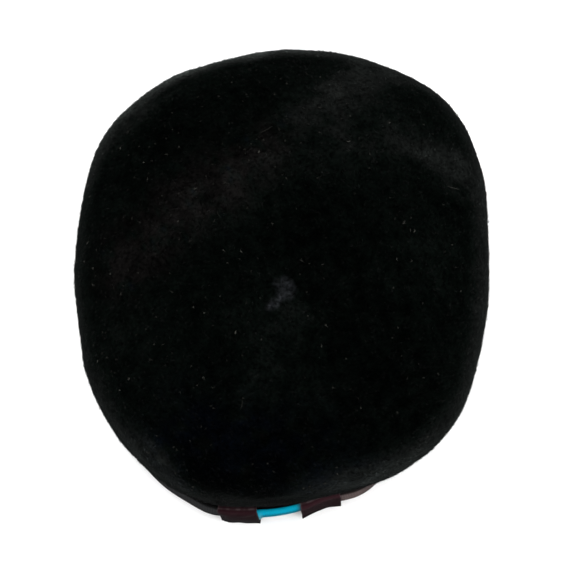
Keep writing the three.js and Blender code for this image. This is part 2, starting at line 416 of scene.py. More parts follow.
def new_piece(name, points, face_sets, material, smooth=True):
    """A mesh object at the origin, from points and arrays of faces that have equally many corners each."""
    mesh = bpy.data.meshes.new(name)
    points = np.ascontiguousarray(points.reshape(-1, 3), dtype=np.float32)
    corners = np.concatenate([f.ravel() for f in face_sets]).astype(np.int32)
    sizes = np.concatenate([np.full(len(f), f.shape[1]) for f in face_sets])
    mesh.vertices.add(len(points))
    mesh.vertices.foreach_set("co", points.ravel())
    mesh.loops.add(len(corners))
    mesh.loops.foreach_set("vertex_index", corners)
    mesh.polygons.add(len(sizes))
    mesh.polygons.foreach_set("loop_start", np.concatenate([[0], np.cumsum(sizes)[:-1]]).astype(np.int32))
    mesh.update(calc_edges=True)
    if mesh.validate():
        raise RuntimeError(f"{name}: the mesh had faults")
    if smooth:
        mesh.shade_smooth()
    piece = bpy.data.objects.new(name, mesh)
    bpy.context.scene.collection.objects.link(piece)
    mesh.materials.append(material)
    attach(piece, "root")
    return piece


def point_values(piece, name, values):
    """Keeps a number for each point of a mesh, for its material to read."""
    layer = piece.data.attributes.new(name, "FLOAT", "POINT")
    layer.data.foreach_set("value", np.ascontiguousarray(values, dtype=np.float32).ravel())


# Shader nodes

def add(tree, kind, inputs=None, **settings):
    """A node with its settings and its inputs, where an input is a plain value or another node's output."""
    node = tree.nodes.new(kind)
    for key, value in settings.items():
        setattr(node, key, value)
    for key, value in (inputs or {}).items():
        if isinstance(value, bpy.types.NodeSocket):
            tree.links.new(value, node.inputs[key])
        else:
            node.inputs[key].default_value = value
    return node


def maths(tree, operation, a, b, clamp=False):
    """One sum of two numbers or outputs."""
    return add(tree, "ShaderNodeMath", {0: a, 1: b}, operation=operation, use_clamp=clamp).outputs[0]


def times(tree, a, b, clamp=False):
    """The product of two numbers or outputs."""
    return maths(tree, "MULTIPLY", a, b, clamp)


def plus(tree, a, b, clamp=False):
    """The sum of two numbers or outputs."""
    return maths(tree, "ADD", a, b, clamp)


def vector_maths(tree, operation, a, b):
    """One sum of two vectors or outputs."""
    return add(tree, "ShaderNodeVectorMath", {0: a, 1: b}, operation=operation).outputs[0]


def scaled(tree, colour, share):
    """A colour made brighter or darker by a factor."""
    return add(tree, "ShaderNodeVectorMath", {0: colour, "Scale": share}, operation="SCALE").outputs[0]


def noise(tree, place, scale, detail, **more):
    """A noise node read at a place."""
    return add(tree, "ShaderNodeTexNoise", {"Vector": place, "Scale": scale, "Detail": detail, **more})


def stored(tree, name):
    """A number kept at the points of the piece."""
    return add(tree, "ShaderNodeAttribute", attribute_name=name).outputs["Fac"]


def place_on_piece(tree):
    """Where on the piece a point is, in metres."""
    return add(tree, "ShaderNodeTexCoord").outputs["Object"]


def mix_colours(tree, share, a, b):
    """A colour between a and b, each a plain colour or an output."""
    a, b = (v if isinstance(v, bpy.types.NodeSocket) else (*v, 1.0) for v in (a, b))
    return add(tree, "ShaderNodeMix", {"Factor": share, 6: a, 7: b}, data_type="RGBA").outputs[2]


def new_group(name, output, **inputs):
    """An empty shader group that gives one number. Each input is a number or a vector, as its default is."""
    group = bpy.data.node_groups.new(name, "ShaderNodeTree")
    for label, default in inputs.items():
        kind = "NodeSocketFloat" if isinstance(default, float) else "NodeSocketVector"
        group.interface.new_socket(label, in_out="INPUT", socket_type=kind).default_value = default
    group.interface.new_socket(output, in_out="OUTPUT", socket_type="NodeSocketFloat")
    source, result = group.nodes.new("NodeGroupInput"), group.nodes.new("NodeGroupOutput")
    return group, [source.outputs[label] for label in inputs], result.inputs[output]


def mottle_group():
    """Uneven tone: two sizes of noise added, then spread between 0 and 1."""
    if "mottle" in bpy.data.node_groups:
        return bpy.data.node_groups["mottle"]
    group, sources, tone = new_group("mottle", "Tone", Vector=(0.0, 0.0, 0.0), Scale=60.0, Contrast=1.0)
    place, scale, contrast = sources
    broad = noise(group, place, scale, 3.0).outputs["Fac"]
    fine = noise(group, place, times(group, scale, 6.3), 4.0).outputs["Fac"]
    both = plus(group, times(group, broad, 0.6), times(group, fine, 0.4))
    spread = times(group, maths(group, "SUBTRACT", both, 0.5), contrast)
    group.links.new(plus(group, spread, 0.5, clamp=True), tone)
    return group


def fibre_group():
    """Short fibres lying close together: noise drawn out along one direction and bent by slower noise."""
    if "fibres" in bpy.data.node_groups:
        return bpy.data.node_groups["fibres"]
    group, sources, height = new_group(
        "fibres", "Height", Vector=(0.0, 0.0, 0.0), Scale=900.0, Stretch=(1.0, 1.0, 1.0)
    )
    place, scale, stretch = sources
    bend = noise(group, place, 70.0, 1.0).outputs["Color"]
    bent = vector_maths(group, "ADD", place, vector_maths(group, "MULTIPLY", bend, (0.006, 0.006, 0.006)))
    drawn = vector_maths(group, "MULTIPLY", bent, stretch)
    group.links.new(noise(group, drawn, scale, 3.0, Roughness=0.6).outputs["Fac"], height)
    return group


def use_group(tree, group, **inputs):
    """A group placed in a material and read at the place on the piece, with its own values."""
    inputs = {"Vector": place_on_piece(tree), **inputs}
    return add(tree, "ShaderNodeGroup", inputs, node_tree=group).outputs[0]


def new_material(name, **values):
    """A material with one Principled shader, whose even values are set on its own sockets."""
    material = bpy.data.materials.new(name)
    material.use_nodes = True
    tree = material.node_tree
    shader = next(n for n in tree.nodes if n.type == "BSDF_PRINCIPLED")
    for key, value in values.items():
        shader.inputs[key.replace("_", " ")].default_value = value
    return material, tree, shader


def base_colour(tree, shader, colour):
    """Feeds a colour into the shader's base colour."""
    tree.links.new(colour, shader.inputs["Base Color"])


def bump(tree, shader, height, strength, distance):
    """Feeds a height into the shader's normal."""
    node = add(tree, "ShaderNodeBump", {"Height": height, "Strength": strength, "Distance": distance})
    tree.links.new(node.outputs["Normal"], shader.inputs["Normal"])


def velour_material(look):
    """Black velour: tufts of dark felt with a soft sheen, brown where it has faded and grey where rubbed,
    lighter and darker by the lay, which holds painted highlights, painted sheen and painted shade.
    """
    material, tree, shader = new_material(
        "black_velour", Roughness=0.95, Specular_IOR_Level=0.0,
        Sheen_Weight=look.sheen, Sheen_Roughness=0.3, Sheen_Tint=(0.9, 1.0, 0.97, 1.0),
    )
    lay, rubbed = stored(tree, "lay"), stored(tree, "rubbed")
    tone = use_group(tree, mottle_group(), Scale=60.0, Contrast=1.6)
    nap = use_group(tree, fibre_group(), Scale=640.0, Stretch=(1.0, 1.0, 1.0))
    tuft = times(tree, maths(tree, "SUBTRACT", nap, 0.3), 2.8, clamp=True)
    dye = tinted(tree, look, stored(tree, "faded"), lay)
    bare = times(tree, rubbed, plus(tree, times(tree, tuft, 0.4), 0.64), clamp=True)
    worn = mix_colours(tree, bare, dye, look.rubbed)
    shade = plus(tree, times(tree, tuft, 1.2), times(tree, tone, 0.5))
    # the lay brings the painted highlights, painted sheen and painted shade into the felt's colour
    bright = maths(tree, "MAXIMUM", times(tree, shade, lay), bare)
    base_colour(tree, shader, scaled(tree, worn, bright))
    bump(tree, shader, nap, 0.6, 0.8 * MM)
    return material


def tinted(tree, look, faded, lay):
    """The felt's colour: greyer where the lay, with its painted highlights and sheen, is bright, towards
    brown where faded is more than 0, and towards blue where it is less."""
    grey = times(tree, maths(tree, "SUBTRACT", lay, 1.0), 0.4, clamp=True)
    blue = times(tree, faded, -1.0, clamp=True)
    brown = times(tree, faded, 1.0, clamp=True)
    black = mix_colours(tree, grey, look.felt, look.felt_grey)
    return mix_colours(tree, brown, mix_colours(tree, blue, black, look.blue), look.faded)


def nap_material(look):
    """The loose fibres of the nap: of the felt's colour, each as bright as its tone, which holds the lay and
    the painted light and shade at its foot.
    """
    material, tree, shader = new_material("velour_nap", Roughness=0.7, Specular_IOR_Level=0.045)
    tone = stored(tree, "tone")
    base_colour(tree, shader, scaled(tree, tinted(tree, look, stored(tree, "faded"), tone), tone))
    return material


def lint_material(look):
    """Dust and lint: pale grey-brown fibres, each of its own tone."""
    material, tree, shader = new_material("lint", Roughness=0.9, Specular_IOR_Level=0.02)
    base_colour(tree, shader, scaled(tree, look.lint, stored(tree, "tone")))
    return material


def ribbon_material(look):
    """Ribbed ribbon: grey-black threads with painted shade in the grooves between the ribs and on its back,
    uneven along it, paler by a painted floor reflection right of the trim and faded at the back left, and
    darkest where the crown's roll keeps the light off it, a painted shade."""
    material, tree, shader = new_material("ribbed_ribbon", Roughness=0.75, Specular_IOR_Level=0.002)
    tone = use_group(tree, mottle_group(), Scale=55.0, Contrast=2.0)
    thread = use_group(tree, fibre_group(), Scale=1500.0, Stretch=(0.6, 0.6, 2.2))
    # painted shade: darker in the grooves between the ribs and on the ribbon's back
    light = plus(tree, times(tree, stored(tree, "crest"), plus(tree, thread, 0.5)), 0.3)
    # faded: a painted floor reflection right of the trim, and a fade at the back left
    dye = mix_colours(tree, stored(tree, "faded"), look.ribbon, look.ribbon_sheen_and_fade)
    uneven = plus(tree, times(tree, tone, 0.7), 0.6)
    bright = times(tree, times(tree, light, uneven), stored(tree, "shade"))
    base_colour(tree, shader, scaled(tree, dye, bright))
    bump(tree, shader, thread, 0.35, 0.2 * MM)
    return material


def leather_material(look):
    """Dark brown leather: fine pores, uneven dye, paler edges and a grey turned lower edge, with a painted
    highlight over the upper fold and painted shade along the lowest line.
    """
    material, tree, shader = new_material("brown_leather", Roughness=0.5, Specular_IOR_Level=0.0015)
    tone = use_group(tree, mottle_group(), Scale=140.0, Contrast=2.0)
    place = {"Vector": place_on_piece(tree), "Scale": 1500.0}
    pores = add(tree, "ShaderNodeTexVoronoi", place, feature="DISTANCE_TO_EDGE").outputs["Distance"]
    base = mix_colours(tree, tone, [c * 0.7 for c in look.leather], [c * 1.3 for c in look.leather])
    with_hem = mix_colours(tree, stored(tree, "hem"), base, look.hem)
    paling = times(tree, stored(tree, "edge"), plus(tree, times(tree, tone, 0.6), 0.6), clamp=True)
    worn = mix_colours(tree, paling, with_hem, look.edge)
    # shade: a painted highlight over the upper fold and painted shade along the lowest line
    base_colour(tree, shader, scaled(tree, worn, stored(tree, "shade")))
    bump(tree, shader, times(tree, pores, 5.0, clamp=True), 0.4, 0.12 * MM)
    return material


def strip_material(look):
    """Smooth turquoise strip: a satin colour with painted shade towards its long edges and a painted shadow
    of the right loop at its right end, paler towards its ends.
    """
    material, tree, shader = new_material("turquoise", Roughness=0.45, Specular_IOR_Level=0.0004)
    tone = use_group(tree, mottle_group(), Scale=180.0, Contrast=1.6)
    thread = use_group(tree, fibre_group(), Scale=1400.0, Stretch=(0.5, 0.5, 2.5))
    base = mix_colours(tree, tone, [c * 0.82 for c in look.strip], [min(1.0, c * 1.15) for c in look.strip])
    shaded = scaled(tree, base, stored(tree, "shade"))
    base_colour(tree, shader, mix_colours(tree, stored(tree, "edge"), shaded, look.strip_end))
    bump(tree, shader, thread, 0.25, 0.15 * MM)
    return material


# The crown

def crown_relief(points):
    """How far the felt stands up or lies down: less each fold's bell, plus three sizes of soft waves."""
    x, y = points[..., 0], points[..., 1]
    relief = -bells(FOLDS, x, y, "deep") * MM * ramp((points[..., 2] / MM - 40) / 30)
    for size, count, seed, high in FELT_WAVES:
        relief = relief + waves(points, size * MM, count, seed) * high * MM
    return relief


def crown_profile(bearing, share, size):
    """The felt's outer face, from the rim's outer edge up the wall, out round the roll and over the dome.
    The wall is straight up. The roll is a quarter ellipse: out with the sine of its angle, and up with one
    less its cosine. The dome is a quarter superellipse: in with the cosine and up with the sine, each to 2
    over the squareness, less the hollows, and it ends just short of the crown's middle. A share from 0 to 1
    is the wall, 1 to 2 the roll and 2 to 3 the dome."""
    bearing, share = np.broadcast_arrays(np.asarray(bearing, float), share)
    c, s = np.cos(np.radians(bearing)), np.sin(np.radians(bearing))
    reach, belly_z = (round_table(CROWN_SECTIONS[name], bearing) * MM for name in ("reach", "belly"))
    belly = np.stack([CROWN["x"] + reach * c, CROWN["y"] + reach * s, belly_z], axis=-1)
    wall = beside_wall(bearing, 0.0, size.wall_top * ramp(share))
    turn = np.radians(90 * ramp(share - 1))
    out, up = np.sin(turn), 1 - np.cos(turn)
    roll = wall + (belly - wall) * np.stack([out, out, up], axis=-1)
    turn = np.radians(89.6 * ramp(share - 2))
    n = 2 / CROWN["squareness"]
    inward, upward = np.cos(turn) ** n, np.sin(turn) ** n
    x = CROWN["x"] + (belly[..., 0] - CROWN["x"]) * inward
    y = CROWN["y"] + (belly[..., 1] - CROWN["y"]) * inward
    z = belly_z + (size.height - belly_z) * upward - bells(HOLLOWS, x, y, "deep") * MM * upward**4
    dome = np.stack([x, y, z], axis=-1)
    return np.where((share > 2)[..., None], dome, roll)


def soften_rows(points, first, last, rounds):
    """Rounds a crease by moving each row from first to last halfway to the mean of its two neighbours."""
    points = points.copy()
    for _ in range(rounds):
        beside = points[first - 1 : last - 1] + points[first + 1 : last + 1]
        points[first:last] = 0.5 * points[first:last] + 0.25 * beside
    return points


def crown_faces(size):
    """The outer face's grid with its relief, and the inner face's grid a felt's thickness within it. Rows
    are an even distance apart at the bearing 45 on the roll and 80 on the dome."""
    bearings = np.linspace(0, 360, size.round_steps, endpoint=False)[None, :]
    wall = np.linspace(0, 1, WALL_ROWS)[:-1]
    roll = 1 + even_steps(lambda t: crown_profile(45.0, 1 + t, size), ROLL_ROWS)[:-1]
    dome = 2 + even_steps(lambda t: crown_profile(80.0, 2 + t, size), size.dome_steps)
    shares = np.concatenate([wall, roll, dome])[:, None]
    outer = soften_rows(crown_profile(bearings, shares, size), *SOFT_ROWS, SOFT_ROUNDS)
    ease = ramp(shares * 1.2 - 0.9)
    outer = outer + grid_normals(outer) * (crown_relief(outer) * ease)[..., None]
    keep = np.concatenate([np.arange(0, len(shares) - 1, INNER_EVERY), [len(shares) - 1]])
    inner = (outer - grid_normals(outer) * size.felt_thick)[keep]
    inner[..., 2] = np.where(shares[keep] < 0.5, np.maximum(inner[..., 2], 0), inner[..., 2])
    return outer, inner


def rim_rows(outer, inner, rounding):
    """The rim between the two faces: a flat edge on the ground whose two corners are quarter circles."""
    low_out, low_in = outer[0], inner[0]
    inward = unit(low_in - low_out)
    angles = np.radians(np.array([0.0, 30.0, 60.0, 90.0]))[:, None, None]
    up = np.array([0.0, 0.0, 1.0])
    across = inward * rounding * (1 - np.cos(angles))
    rise = up * rounding * (1 - np.sin(angles))
    return np.concatenate([low_in - across + rise, (low_out + across + rise)[::-1]])


def lay_and_painted_light(points):
    """How bright the nap lies, with light and shade painted on it: 1, and on the top what the lay's ragged
    bells (painted highlights, painted sheen and patches of lay) and some broad and small waves add, and what
    the widest line's painted sheen adds over the outer tenth of the way from the middle. Below that line a
    painted shade under the roll darkens it smoothly, by three times a share's square less twice its cube."""
    top = ramp((points[..., 2] / MM - 26) / 14)
    x, y = points[..., 0] - CROWN["x"], points[..., 1] - CROWN["y"]
    bearing = np.degrees(np.arctan2(y, x))
    reach, belly, nap = (round_table(CROWN_SECTIONS[name], bearing) for name in ("reach", "belly", "nap"))
    near_edge = ramp((np.hypot(x, y) / (reach * MM) - 0.9) * 10)
    # painted sheen along the widest line (less than 0, painted shade)
    edge = nap * near_edge**1.5
    ragged = 1 + 0.28 * waves(points, 0.016, 24, 24) + 0.2 * waves(points, 0.006, 40, 25)
    uneven = 0.16 * waves(points, 0.03, 20, 26) + 0.2 * waves(points, 0.007, 40, 27)
    spread = bells(LAY_AND_PAINTED_LIGHT, points[..., 0], points[..., 1]) * ragged + uneven
    # painted shade under the crown's roll
    under = ramp((belly + 3 - points[..., 2] / MM) / 9)
    return np.maximum(1 + (spread + edge) * top, 0.35) * (1 - 0.85 * under**2 * (3 - 2 * under))


class HAT_PG_crown(bpy.types.PropertyGroup):
    felt_thick: LengthProperty(name="Felt thickness", description="Thickness of the felt", default=0.002)
    height: LengthProperty(name="Height", description="Height of the whole hat", default=0.092)
    wall_top: LengthProperty(name="Wall height", description="Height of the upright head wall", default=0.025)
    rim_rounding: LengthProperty(
        name="Rim rounding", description="Radius of the rim's corners", default=0.0006
    )
    round_steps: IntProperty(
        name="Steps round", description="Points in each ring of the felt", default=360, min=48
    )
    dome_steps: IntProperty(
        name="Steps over the dome", description="Rings from the widest line to the middle",
        default=138, min=24,
    )
    nap_length: LengthProperty(
        name="Nap length", description="Mean length of the nap's fibres", default=0.0012
    )
    nap_count: IntProperty(
        name="Nap fibres", description="Fibres in each half of the nap", default=45000, min=0
    )
    lock_count: IntProperty(name="Locks", description="Matted locks of nap on the crown", default=3200, min=0)
    lock_fibres: IntProperty(name="Lock fibres", description="Fibres in each lock", default=8, min=1)
    lint_count: IntProperty(name="Lint", description="Flecks of lint on the felt", default=420, min=0)


class HAT_PG_look(bpy.types.PropertyGroup):
    felt: ColourProperty(name="Felt", description="Colour of the felt", default=(0.00049, 0.00085, 0.00067))
    # the grey that the felt turns towards where its lay and painted highlights and sheen are bright
    felt_grey: ColourProperty(
        name="Brushed felt", description="Colour of felt brushed towards the light",
        default=(0.00065, 0.00075, 0.00070),
    )
    faded: ColourProperty(
        name="Faded felt", description="Colour of faded felt", default=(0.00079, 0.00073, 0.00071)
    )
    # the blue-black that the felt turns towards at its front
    blue: ColourProperty(
        name="Deep felt", description="Colour of unfaded felt", default=(0.00031, 0.00052, 0.00095)
    )
    rubbed: ColourProperty(
        name="Rubbed felt", description="Colour of rubbed felt", default=(0.0053, 0.0057, 0.0064)
    )
    sheen: FloatProperty(
        name="Sheen", description="Strength of the felt's sheen", subtype="FACTOR", default=0.016
    )
    lint: ColourProperty(name="Lint", description="Colour of the lint", default=(0.41, 0.41, 0.36))
    ribbon: ColourProperty(
        name="Ribbon", description="Colour of the ribbon", default=(0.0168, 0.0170, 0.0177)
    )
    # the paler ribbon colour: a painted floor reflection right of the trim, and faded at the back left
    ribbon_sheen_and_fade: ColourProperty(
        name="Faded ribbon", description="Colour of faded ribbon", default=(0.0637, 0.0475, 0.0460)
    )
    leather: ColourProperty(
        name="Leather", description="Colour of the loops", default=(0.0056, 0.0021, 0.0027)
    )
    hem: ColourProperty(
        name="Hem", description="Colour of the loops' turned lower edge", default=(0.0074, 0.0066, 0.0070)
    )
    # the paler colour of the loops' end lines and of the dashes on their upper fold
    edge: ColourProperty(
        name="Worn edge", description="Colour of the loops' worn edges", default=(0.0230, 0.0165, 0.0172)
    )
    strip: ColourProperty(name="Strip", description="Colour of the strip", default=(0.001, 0.195, 0.290))
    strip_end: ColourProperty(
        name="Strip ends", description="Colour of the strip's ends", default=(0.075, 0.205, 0.225)
    )


class HAT_OT_crown(bpy.types.Operator):
    """Builds the felt body as one closed shell"""

    bl_idname = "hat.crown"
    bl_label = "Felt crown"

    def execute(self, context):
        size, look = context.scene.hat_crown, context.scene.hat_look
        outer, inner = crown_faces(size)
        rim = rim_rows(outer, inner, size.rim_rounding)
        grid = np.concatenate([inner[:0:-1], rim, outer[1:]])
        rows, columns = grid.shape[:2]
        points = np.concatenate([grid.reshape(-1, 3), grid[:1].mean(axis=1), grid[-1:].mean(axis=1)])
        felt = new_piece("felt_crown", points, closed_faces(rows, columns), velour_material(look))
        x, y = points[:, 0], points[:, 1]
        outside = np.concatenate([np.repeat(np.arange(rows) >= len(inner) - 1, columns), [0, 1]])
        top = ramp((points[:, 2] / MM - 50) / 25) * outside
        ragged = 1 + 0.6 * waves(points, 0.012, 24, 21) + 0.35 * waves(points, 0.0045, 24, 22)
        patchy = 1 + 0.2 * waves(points, 0.005, 24, 23)
        # lay: the nap's lay with painted highlights, painted sheen and painted shade under the roll
        point_values(felt, "lay", 1 + (lay_and_painted_light(points) - 1) * outside)
        point_values(felt, "faded", np.clip(bells(FADED, x, y) * ragged, -1, 1) * top)
        point_values(felt, "rubbed", np.clip(1.5 * bells(RUBBED, x, y) * patchy - 0.25, 0, 1.1) * top)
        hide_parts("crown")
        return {"FINISHED"}


def scatter(outer, count, rng, lowest, thicker=None):
    """Places spread evenly over the outer grid's area above a height: points, normals and the way round the
    hat. Each is in a quad picked by its area, at two random shares across it."""
    normal = grid_normals(outer)
    wrapped, wrapped_normal = (np.concatenate([g, g[:, :1]], axis=1) for g in (outer, normal))
    a, b, c, d = wrapped[:-1, :-1], wrapped[:-1, 1:], wrapped[1:, 1:], wrapped[1:, :-1]
    area = np.linalg.norm(np.cross(c - a, d - b), axis=-1)
    weight = np.where(a[..., 2] > lowest, area, 0)
    if thicker is not None:
        weight = weight * thicker(a)
    pick = rng.choice(weight.size, count, p=(weight / weight.sum()).ravel())
    r, k = np.unravel_index(pick, weight.shape)
    s, t = rng.random((count, 1)), rng.random((count, 1))

    def blend(g):
        near = g[r, k] * (1 - s) + g[r, k + 1] * s
        far = g[r + 1, k] * (1 - s) + g[r + 1, k + 1] * s
        return near * (1 - t) + far * t

    return blend(wrapped), unit(blend(wrapped_normal)), unit(wrapped[r, k + 1] - wrapped[r, k])


def needles(base, normal, lean, length, half_width, rng):
    """Fibres as needles: three points round the foot at thirds of a turn, and a tip out along the lean."""
    side = unit(np.cross(normal, lean))
    fore = np.cross(side, lean)
    spin = rng.uniform(0, 2 * np.pi, (len(base), 1))
    turns = [spin + k * THIRD_OF_TURN for k in range(3)]
    feet = [base + half_width * (np.cos(turn) * side + np.sin(turn) * fore) for turn in turns]
    points = np.stack([*feet, base + lean * length], axis=1)
    faces = np.array([[0, 3, 1], [1, 3, 2], [2, 3, 0], [0, 1, 2]])
    return points, (np.arange(len(base))[:, None, None] * 4 + faces).reshape(-1, 3)


def fibre_piece(name, fibres, base, tone, material):
    """One piece of many fibres, each of its own tone and as faded as the felt at its foot."""
    points, faces = fibres
    piece = new_piece(name, points, [faces], material, smooth=False)
    faded = np.clip(bells(FADED, base[:, 0], base[:, 1]), -1, 1)
    for label, values in (("tone", tone), ("faded", faded)):
        point_values(piece, label, np.repeat(values, points.shape[1]))


class HAT_OT_nap(bpy.types.Operator):
    """Covers the crown with the short combed fibres of its nap"""

    bl_idname = "hat.nap"
    bl_label = "Velour nap"

    def execute(self, context):
        size, look = context.scene.hat_crown, context.scene.hat_look
        outer, _ = crown_faces(size)
        material = nap_material(look)
        for half in (0, 1):
            rng = np.random.default_rng(300 + half)
            base, normal, around = scatter(outer, size.nap_count, rng, NAP_FROM)
            inward = np.cross(normal, around)
            sway = waves(base, 0.05, 12, 31)[:, None]
            comb = around * (0.9 + 0.3 * sway) - inward * (0.35 + 0.5 * sway)
            comb = along_surface(comb + rng.normal(0, 0.45, base.shape), normal)
            tilt = np.radians(np.clip(rng.normal(26, 13, (len(base), 1)), 6, 75))
            lean = comb * np.cos(tilt) + normal * np.sin(tilt)
            bald = np.clip(bells(RUBBED, base[:, 0], base[:, 1]), 0, 0.75)[:, None]
            length = size.nap_length * np.clip(rng.normal(1, 0.28, (len(base), 1)), 0.4, 2.0) * (1 - bald)
            fibres = needles(base - normal * NAP_ROOT, normal, lean, length, NAP_HALF_WIDTH, rng)
            # each fibre's tone holds the lay and the painted light and shade at its foot
            tone = lay_and_painted_light(base) * np.exp(rng.normal(0.1, 1.0, len(base)))
            fibre_piece(f"velour_nap_{half + 1}", fibres, base, tone, material)
        return {"FINISHED"}


def thread_meshes(base, normal, along, length, thick, bend):
    """Bent threads lying on the felt: places along each, from end to end, bowed across by the bend times the
    square of the place and lifted a little in the middle. At each is a ring of three points, smaller towards
    the ends by the square of the place, and the ends are closed."""
    rings = THREAD_RINGS
    across = np.cross(normal, along)
    points = []
    for s in np.linspace(-0.5, 0.5, rings):
        bow = across * (bend * length * (s**2 - 0.25)) + normal * (thick + 0.12 * length * (0.25 - s**2))
        narrow = thick * (1 - 2 * s**2)
        for k in range(3):
            turn = k * THIRD_OF_TURN
            ring = narrow * (math.cos(turn) * across + math.sin(turn) * normal)
            points.append(base + along * (s * length) + bow + ring)
    points = np.stack(points, axis=1)
    start = np.arange(len(base))[:, None, None] * (3 * rings)
    caps = np.array([[0, 2, 1], [3 * rings - 3, 3 * rings - 2, 3 * rings - 1]])
    return points, [(start + grid_quads(rings, 3)).reshape(-1, 4), (start + caps).reshape(-1, 3)]


def places_on_top(outer, x, y):
    """The points of the top nearest to given places, and the normals there."""
    high = outer[..., 2] > TOP_FROM
    top, normal = outer[high], grid_normals(outer)[high]
    nearest = [np.argmin(np.hypot(top[:, 0] - px * MM, top[:, 1] - py * MM)) for px, py in zip(x, y)]
    return top[nearest], normal[nearest]


class HAT_OT_tufts(bpy.types.Operator):
    """Lays matted locks of nap over the crown, each a bundle of fibres a little brighter than the rest"""

    bl_idname = "hat.tufts"
    bl_label = "Matted nap"

    def execute(self, context):
        size, look = context.scene.hat_crown, context.scene.hat_look
        outer, _ = crown_faces(size)
        rng = np.random.default_rng(57)
        base, normal, around = scatter(outer, size.lock_count, rng, LOCKS_FROM)
        heading = rng.normal(-0.4, 0.9, (len(base), 1))
        # each lock's tone holds the lay and the painted light and shade at its foot
        tone = lay_and_painted_light(base) * np.exp(rng.normal(0.7, 0.5, len(base)))
        of_lock = (base, normal, around, heading, tone)
        base, normal, around, heading, tone = (np.repeat(v, size.lock_fibres, axis=0) for v in of_lock)
        heading = heading + rng.normal(0, 0.45, heading.shape)
        aside = np.cross(normal, around)
        along = np.cos(heading) * around + np.sin(heading) * aside
        apart = around * rng.normal(0, 1, heading.shape) + aside * rng.normal(0, 1, heading.shape)
        base = base + apart * LOCK_SPREAD
        tilt = np.radians(rng.uniform(4, 22, heading.shape))
        lean = along * np.cos(tilt) + normal * np.sin(tilt)
        length = LOCK_LENGTH * np.exp(rng.normal(0, 0.3, heading.shape))
        fibres = needles(base + normal * LOCK_LIFT, normal, lean, length, LOCK_HALF_WIDTH, rng)
        fibre_piece("matted_nap", fibres, base, tone, nap_material(look))
        return {"FINISHED"}


def more_on_left(points):
    """How much more lint lies at a point than on the right: up to 1.6 times more, over 90 mm to the left."""
    return 1 + 1.6 * ramp(-points[..., 0] / 0.09)


class HAT_OT_lint(bpy.types.Operator):
    """Strews fine lint over the felt, more of it on the left"""

    bl_idname = "hat.lint"
    bl_label = "Lint"

    def execute(self, context):
        size, look = context.scene.hat_crown, context.scene.hat_look
        outer, _ = crown_faces(size)
        rng = np.random.default_rng(41)
        flecks = scatter(outer, size.lint_count, rng, LINT_FROM, more_on_left)
        base, normal, around = (np.repeat(v, LINT_THREADS, axis=0) for v in flecks)
        base = base + rng.normal(0, LINT_SPREAD, base.shape)
        length = LINT_LENGTH * np.exp(rng.normal(0, 0.4, (len(base), 1)))
        thick = LINT_THICK * np.exp(rng.normal(0, 0.25, (len(base), 1)))
        heading = rng.uniform(0, 2 * np.pi, (len(base), 1))
        along = np.cos(heading) * around + np.sin(heading) * np.cross(normal, around)
        bend = rng.normal(0, 0.3, (len(base), 1))
        tone = np.repeat(LINT_TONE * np.exp(rng.normal(0, 0.68, size.lint_count)), LINT_THREADS)
        self.lay("lint", base + normal * LINT_LIFT, normal, along, length, thick, bend, tone, look)

        base, normal = places_on_top(outer, THREADS["x"], THREADS["y"])
        length, thick, bend = (np.array(THREADS[k])[:, None] for k in ("length", "thick", "bend"))
        turn = np.radians(THREADS["turn"])[:, None]
        flat = np.concatenate([np.cos(turn), np.sin(turn), np.zeros_like(turn)], axis=1)
        along = along_surface(flat, normal)
        base, length, thick, tone = base + normal * THREAD_LIFT, length * MM, thick * MM, THREADS["pale"]
        self.lay("loose_threads", base, normal, along, length, thick, bend, tone, look)
        return {"FINISHED"}

    def lay(self, name, base, normal, along, length, thick, bend, tone, look):
        """Makes one piece of many threads, each of its own tone."""
        points, faces = thread_meshes(base, normal, along, length, thick, bend)
        piece = new_piece(name, points, faces, lint_material(look))
        point_values(piece, "tone", np.repeat(tone, points.shape[1]))


# The ribbon

class HAT_PG_ribbon(bpy.types.PropertyGroup):
    thick: LengthProperty(name="Thickness", description="Thickness of the ribbon", default=0.0008)
    stand_off: LengthProperty(name="Gap", description="Gap between the wall and the ribbon", default=0.00035)
    low: LengthProperty(name="Lower edge", description="Height of the lower edge", default=0.002)
    high: LengthProperty(name="Upper edge", description="Height of the upper edge", default=0.022)
    ribs: IntProperty(name="Ribs", description="Ribs round the ribbon", default=800, min=60)
    rib_height: LengthProperty(name="Rib height", description="How far each rib stands up", default=0.00014)


def ribbon_grid(size):
    """A flat ring round the wall. Its section is a long rounded oblong. Ribs stand up from its front and its
    edges by the absolute sine of the rib's place to 0.7, and the ribbon waves in and out a little."""
    columns = size.ribs * RIB_POINTS
    bearing = np.linspace(0, 360, columns, endpoint=False)[None, :]
    rib = np.abs(np.sin(np.radians(bearing) * size.ribs / 2)) ** 0.7
    # round the section: out from 0 (back) to 1 (front), up from 0 (lower edge) to 1 (upper edge)
    out = np.array([0.25, 0.75, 1, 1, 1, 1, 1, 1, 0.75, 0.25, 0, 0])[:, None]
    up = np.array([0, 0, 0.018, 0.2, 0.4, 0.6, 0.8, 0.982, 1, 1, 0.982, 0.018])[:, None]
    middle, half = (size.low + size.high) / 2, (size.high - size.low) / 2
    scallop = (rib - 0.5) * 0.12 * MM
    z = middle + (half + scallop) * (2 * up - 1)
    foot = beside_wall(bearing, 0.0, 0.0)
    sway = waves(foot, 0.06, 10, 51) * 0.18 * MM + 0.1 * MM
    slack = around_bells(RIBBON_SLACK, bearing, "out") * MM
    front = size.stand_off + size.thick + rib * size.rib_height
    off_wall = size.stand_off + (front - size.stand_off) * out + slack + sway * (0.5 + 0.5 * up)
    return beside_wall(bearing, off_wall, z), rib * out


